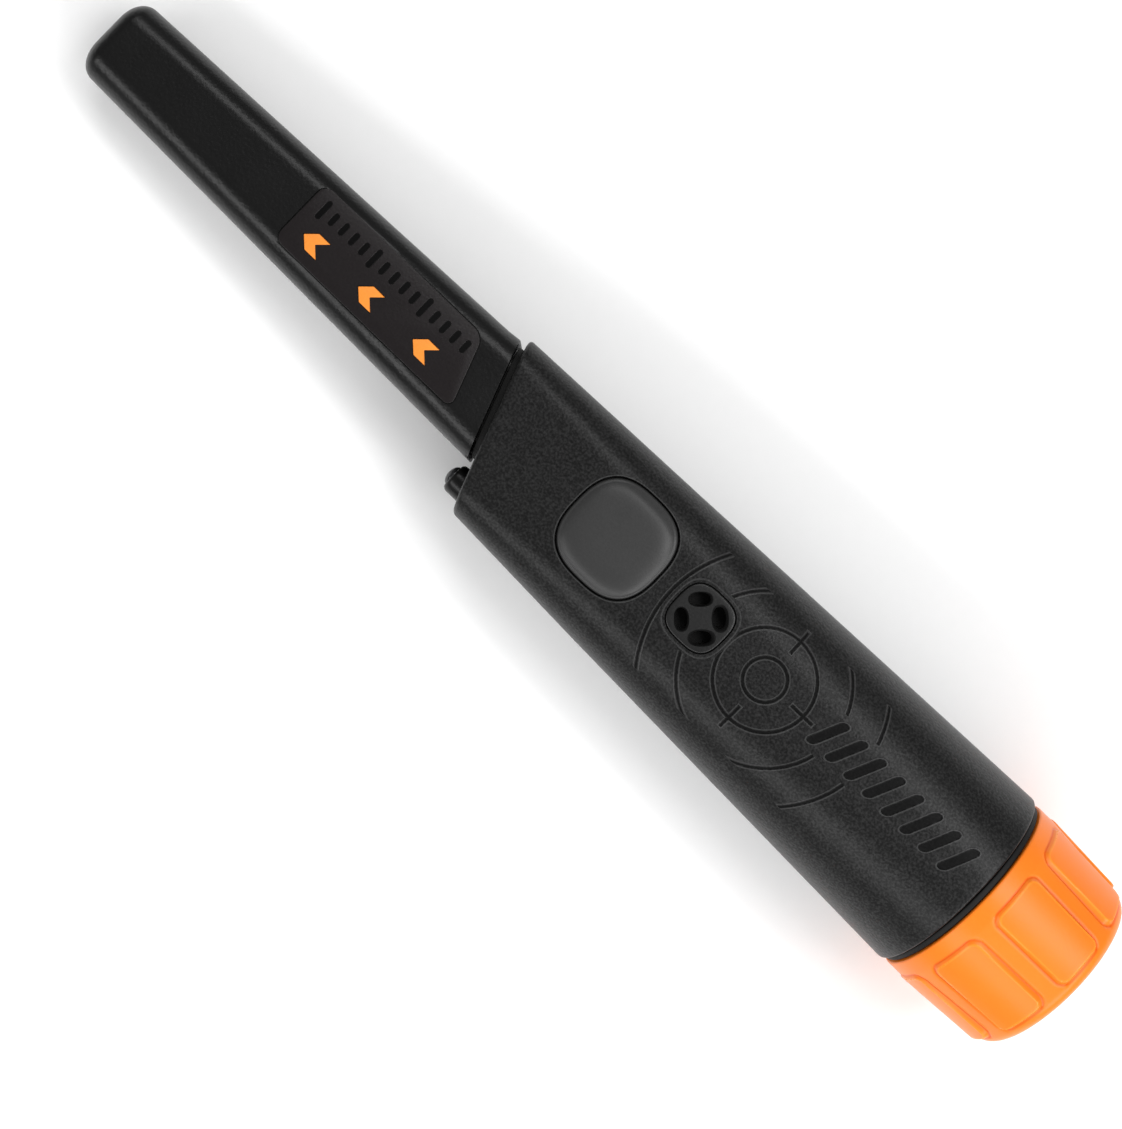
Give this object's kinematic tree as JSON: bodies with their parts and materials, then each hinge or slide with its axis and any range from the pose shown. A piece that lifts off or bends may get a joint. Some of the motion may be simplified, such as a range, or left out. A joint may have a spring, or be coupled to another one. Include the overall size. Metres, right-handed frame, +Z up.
{
  "type": "pinpointer probe",
  "caption": "Hand-held pinpointer probe with a slim offset sensing nose, tapered handle with push button, lamp and grille, and a screw-on battery cap.",
  "frame": {"origin": "on the ground under the centre of the bounding box", "axes": "+X along the device towards the battery cap, +Z up out of the button face, +Y towards the side the nose is offset to; the flat of the handle's back lies on z = 0"},
  "size_m": [0.2422, 0.0398, 0.04],
  "materials": {
    "handle_plastic": "fine grained charcoal",
    "nose_plastic": "satin charcoal",
    "button_plastic": "smooth satin grey",
    "cap_plastic": "satin orange",
    "inlay_orange": "satin orange",
    "seal_rubber": "matt black",
    "lamp_gloss": "glossy black",
    "lens_clear": "clear",
    "inner_plastic": "moulded grey",
    "board_green": "solder mask",
    "former_white": "natural nylon",
    "steel_bright": "plated",
    "copper_wire": "enamelled",
    "ferrite_grey": "sintered",
    "lead_red": "insulated lead",
    "battery_skin": "printed steel jacket"
  },
  "bodies": {
    "handle": {"body_shell": "handle_plastic", "probe_housing": "nose_plastic", "probe_gasket": "seal_rubber", "label_inlay": "nose_plastic", "chevron_inlay_front": "inlay_orange", "chevron_inlay_middle": "inlay_orange", "chevron_inlay_rear": "inlay_orange", "speaker_grille": "handle_plastic", "acoustic_membrane": "seal_rubber", "speaker_gasket": "seal_rubber", "speaker_can": "steel_bright", "lamp_bezel": "lamp_gloss", "lamp_lens": "lens_clear", "lamp_led": "lens_clear", "main_circuit_board": "board_green", "tactile_switch": "inner_plastic", "microcontroller": "inner_plastic", "quartz_crystal": "steel_bright", "smoothing_capacitor": "steel_bright", "vibration_motor": "steel_bright", "motor_clip": "inner_plastic", "chassis_frame": "inner_plastic", "board_screw_front_left": "steel_bright", "board_screw_front_right": "steel_bright", "board_screw_rear_left": "steel_bright", "board_screw_rear_right": "steel_bright", "contact_board": "board_green", "contact_spring_positive": "copper_wire", "contact_spring_negative": "copper_wire", "battery_guide_upper": "inner_plastic", "battery_guide_lower": "inner_plastic", "ferrite_rod": "ferrite_grey", "coil_former": "former_white", "transmit_coil": "copper_wire", "receive_coil": "copper_wire", "battery_lead": "lead_red", "coil_lead": "seal_rubber", "cap_seal_ring": "seal_rubber"},
    "button": {"button_cap": "button_plastic"},
    "plunger": {"switch_plunger": "inner_plastic"},
    "eccentric": {"motor_weight": "steel_bright"},
    "battery": {"battery_9v": "battery_skin", "battery_terminal_positive": "steel_bright", "battery_terminal_negative": "steel_bright"},
    "cap_carrier": {"battery_pressure_pad": "seal_rubber"},
    "cap": {"battery_cap": "cap_plastic"}
  },
  "joints": [
    {"name": "button_press", "type": "slide", "parent": "handle", "child": "button", "axis": [0.0576, 0, -0.9983], "range_m": [0, 0.0006], "stiffness_N_per_m": 250, "springref_m": -0.002},
    {"name": "switch_press", "type": "slide", "parent": "handle", "child": "plunger", "axis": [0.0576, 0, -0.9983], "range_m": [0, 0.0006]},
    {"name": "motor_spin", "type": "hinge", "parent": "handle", "child": "eccentric", "pos_m": [0.02596, -0.005, 0.01366], "axis": [0.9983, 0, 0.0576], "continuous": true},
    {"name": "battery_rise", "type": "slide", "parent": "handle", "child": "battery", "axis": [0.9983, 0, 0.0576], "range_m": [0, 0.0015], "deforming": ["contact_spring_positive", "contact_spring_negative"]},
    {"name": "cap_travel", "type": "slide", "parent": "handle", "child": "cap_carrier", "axis": [0.9983, 0, 0.0576], "range_m": [0, 0.006]},
    {"name": "cap_twist", "type": "hinge", "parent": "cap_carrier", "child": "cap", "pos_m": [0.09702, 0, 0.01996], "axis": [0.9983, 0, 0.0576], "range_deg": [0, 720]}
  ],
  "couplings": [
    {"joint": "switch_press", "follows": "button_press", "ratio": 1},
    {"joint": "battery_rise", "follows": "cap_travel", "ratio": 0.25},
    {"joint": "cap_twist", "follows": "cap_travel", "rad_per_m": 2094.4}
  ]
}
